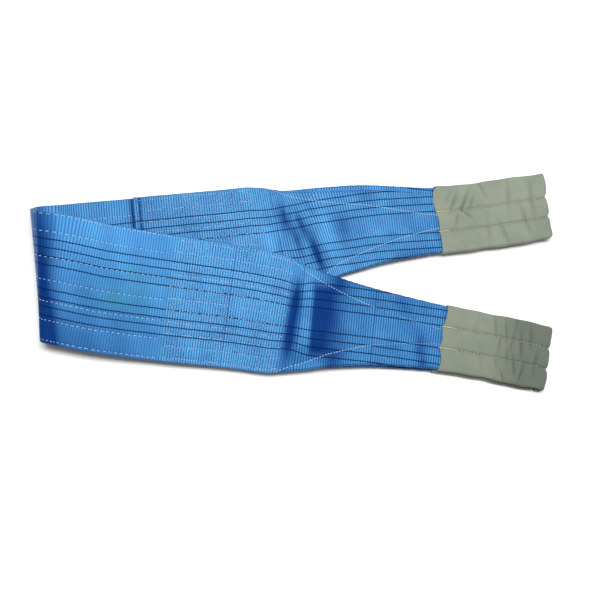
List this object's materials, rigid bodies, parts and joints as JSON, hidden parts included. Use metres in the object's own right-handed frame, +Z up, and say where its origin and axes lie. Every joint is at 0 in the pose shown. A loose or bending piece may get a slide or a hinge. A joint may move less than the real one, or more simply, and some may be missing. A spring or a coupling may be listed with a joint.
{
  "type": "flat web sling",
  "caption": "Flat duplex webbing sling, folded in half, with turned-in soft eyes in canvas wear sleeves at both ends, for slinging loads.",
  "frame": {"origin": "centre of the footprint on the plane it rests on", "axes": "+X from the fold towards the two eyes, +Y from the front leg to the back leg, +Z up, through the thickness"},
  "size_m": [1.0392, 0.4576, 0.0701],
  "materials": {
    "outer_webbing": "ribbed woven polyester, slight sheen, dark marker lines",
    "inner_webbing": "ribbed woven polyester, slight sheen",
    "sleeve_canvas": "smooth woven canvas, grey-green, matt",
    "thread": "bonded polyester sewing thread"
  },
  "bodies": {
    "back_leg": {"back_outer_webbing": "outer_webbing", "back_inner_webbing": "inner_webbing", "back_splice_tail": "outer_webbing", "back_body_bobbin_rows": "thread", "back_splice_bobbin_rows": "thread"},
    "bend_1": {"bend_1_outer_webbing": "outer_webbing", "bend_1_inner_webbing": "inner_webbing"},
    "bend_2": {"bend_2_outer_webbing": "outer_webbing", "bend_2_inner_webbing": "inner_webbing"},
    "bend_3": {"bend_3_outer_webbing": "outer_webbing", "bend_3_inner_webbing": "inner_webbing"},
    "bend_4": {"bend_4_outer_webbing": "outer_webbing", "bend_4_inner_webbing": "inner_webbing"},
    "front_leg": {"front_outer_webbing": "outer_webbing", "front_inner_webbing": "inner_webbing", "front_splice_tail": "outer_webbing", "front_body_needle_rows": "thread", "front_body_bobbin_rows": "thread", "front_splice_needle_rows": "thread", "front_splice_bobbin_rows": "thread"},
    "front_eye_throat": {"front_eye_throat_outer": "outer_webbing", "front_eye_return_limb": "outer_webbing", "front_eye_return_fold_seam": "thread"},
    "front_eye_outer": {"front_eye_outer_limb": "outer_webbing", "front_eye_outer_fold_seam": "thread"},
    "front_eye_outer_end": {"front_eye_outer_end": "outer_webbing", "front_sleeve_seam": "thread", "front_sleeve_outer": "sleeve_canvas"},
    "front_eye_tip": {"front_eye_tip": "outer_webbing", "front_sleeve_tip": "sleeve_canvas"},
    "front_eye_return_end": {"front_eye_return_end": "outer_webbing", "front_sleeve_return": "sleeve_canvas"},
    "back_eye_throat": {"back_eye_throat_outer": "outer_webbing", "back_eye_return_limb": "outer_webbing", "back_eye_return_fold_seam": "thread"},
    "back_eye_outer": {"back_eye_outer_limb": "outer_webbing"},
    "back_eye_outer_end": {"back_eye_outer_end": "outer_webbing", "back_sleeve_outer": "sleeve_canvas"},
    "back_eye_tip": {"back_eye_tip": "outer_webbing", "back_sleeve_tip": "sleeve_canvas"},
    "back_eye_return_end": {"back_eye_return_end": "outer_webbing", "back_sleeve_seam": "thread", "back_sleeve_return": "sleeve_canvas"}
  },
  "joints": [
    {"name": "fold_1", "type": "hinge", "parent": "back_leg", "child": "bend_1", "pos_m": [-0.48093, 0.02572, 0.00579], "axis": [0.1101, -0.9939, -0.0066], "range_deg": [0, 36]},
    {"name": "fold_2", "type": "hinge", "parent": "bend_1", "child": "bend_2", "pos_m": [-0.49599, 0.01805, 0.01599], "axis": [0.1466, -0.9885, -0.0374], "range_deg": [0, 36]},
    {"name": "fold_3", "type": "hinge", "parent": "bend_2", "child": "bend_3", "pos_m": [-0.49949, 0.01069, 0.02626], "axis": [0.1296, -0.9893, -0.0673], "range_deg": [0, 36]},
    {"name": "fold_4", "type": "hinge", "parent": "bend_3", "child": "bend_4", "pos_m": [-0.49579, 0.00316, 0.03653], "axis": [0.0806, -0.9916, -0.1009], "range_deg": [0, 36]},
    {"name": "fold", "type": "hinge", "parent": "bend_4", "child": "front_leg", "pos_m": [-0.48068, -0.00515, 0.04616], "axis": [-0.0268, -0.9898, -0.1401], "range_deg": [0, 36]},
    {"name": "front_eye_swing", "type": "hinge", "parent": "front_leg", "child": "front_eye_throat", "pos_m": [-0.03374, -0.07639, 0.02933], "axis": [-0.1602, -0.9805, -0.1135], "range_deg": [0, 60]},
    {"name": "front_eye_open", "type": "hinge", "parent": "front_eye_throat", "child": "front_eye_outer", "pos_m": [0.00851, -0.08274, 0.0366], "axis": [-0.1627, -0.9853, -0.0523], "range_deg": [0, 40]},
    {"name": "front_eye_outer_knee", "type": "hinge", "parent": "front_eye_outer", "child": "front_eye_outer_end", "pos_m": [0.24922, -0.11391, 0.014], "axis": [-0.1627, -0.9853, -0.0523], "range_deg": [-40, 0]},
    {"name": "front_eye_tip_turn", "type": "hinge", "parent": "front_eye_outer_end", "child": "front_eye_tip", "pos_m": [0.48026, -0.1597, 0.0046], "axis": [-0.1627, -0.9853, -0.0523], "range_deg": [0, 20]},
    {"name": "front_eye_return_knee", "type": "hinge", "parent": "front_eye_throat", "child": "front_eye_return_end", "pos_m": [0.23955, -0.12853, 0.02721], "axis": [-0.1627, -0.9853, -0.0523], "range_deg": [0, 40]},
    {"name": "back_eye_swing", "type": "hinge", "parent": "back_leg", "child": "back_eye_throat", "pos_m": [-0.06774, 0.07387, 0.0018], "axis": [-0.1441, 0.9896, 0], "range_deg": [0, 60]},
    {"name": "back_eye_open", "type": "hinge", "parent": "back_eye_throat", "child": "back_eye_outer", "pos_m": [-0.02874, 0.0807, 0.0023], "axis": [-0.1561, 0.9877, 0], "range_deg": [0, 40]},
    {"name": "back_eye_outer_knee", "type": "hinge", "parent": "back_eye_outer", "child": "back_eye_outer_end", "pos_m": [0.24426, 0.13066, 0.0068], "axis": [-0.1561, 0.9877, 0], "range_deg": [-40, 0]},
    {"name": "back_eye_tip_turn", "type": "hinge", "parent": "back_eye_return_end", "child": "back_eye_tip", "pos_m": [0.49126, 0.16326, 0.0118], "axis": [-0.1561, 0.9877, 0], "range_deg": [-20, 0]},
    {"name": "back_eye_return_knee", "type": "hinge", "parent": "back_eye_throat", "child": "back_eye_return_end", "pos_m": [0.21826, 0.11331, 0.0073], "axis": [-0.1561, 0.9877, 0], "range_deg": [0, 40]}
  ],
  "couplings": [
    {"joint": "fold_1", "follows": "fold", "ratio": 1},
    {"joint": "fold_2", "follows": "fold", "ratio": 1},
    {"joint": "fold_3", "follows": "fold", "ratio": 1},
    {"joint": "fold_4", "follows": "fold", "ratio": 1},
    {"joint": "front_eye_outer_knee", "follows": "front_eye_open", "ratio": -1},
    {"joint": "front_eye_tip_turn", "follows": "front_eye_open", "ratio": 0.5},
    {"joint": "front_eye_return_knee", "follows": "front_eye_open", "ratio": 1},
    {"joint": "back_eye_outer_knee", "follows": "back_eye_open", "ratio": -1},
    {"joint": "back_eye_tip_turn", "follows": "back_eye_open", "ratio": -0.5},
    {"joint": "back_eye_return_knee", "follows": "back_eye_open", "ratio": 1}
  ]
}
